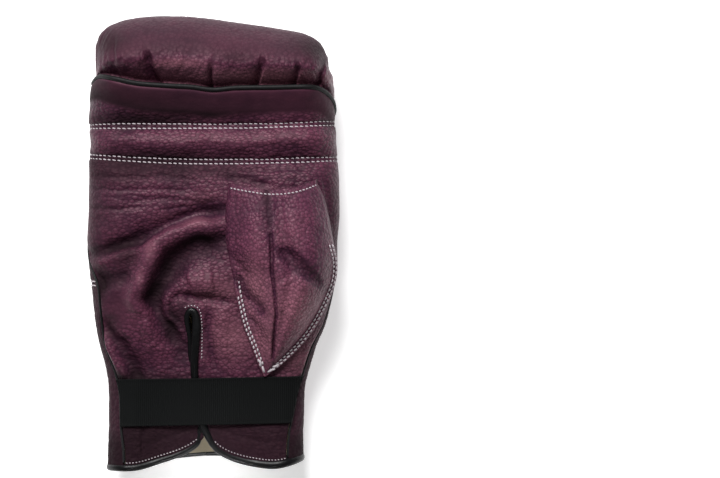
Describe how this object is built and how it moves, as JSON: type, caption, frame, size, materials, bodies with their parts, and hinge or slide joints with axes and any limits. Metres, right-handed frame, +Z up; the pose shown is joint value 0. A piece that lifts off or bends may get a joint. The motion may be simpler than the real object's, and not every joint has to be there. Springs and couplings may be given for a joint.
{
  "type": "padded bag glove",
  "caption": "Padded leather bag glove for the right hand, lying palm up: slit cuff with elastic, sewn thumb sleeve, foam back rolled over the fingertips.",
  "frame": {"origin": "under the middle of the outline, on the surface that the glove lies on", "axes": "+X across the palm towards the thumb side, +Y from the cuff to the fingertips, +Z up out of the palm"},
  "size_m": [0.144, 0.259, 0.062],
  "materials": {
    "leather": "dark wine-red cowhide, pebbled, with a soft sheen and creases",
    "thumb_leather": "the same leather, a little smoother",
    "elastic": "black woven elastic with fine ribs",
    "piping": "black glossy leather piping",
    "binding": "black leather edge binding",
    "lining": "undyed cotton lining"
  },
  "bodies": {
    "root": {"padded_back": "leather", "palm_panel": "leather", "thumb_sleeve": "thumb_leather", "wrist_elastic": "elastic", "seam_piping": "piping", "edge_binding": "binding", "cuff_lining": "lining"}
  },
  "joints": []
}
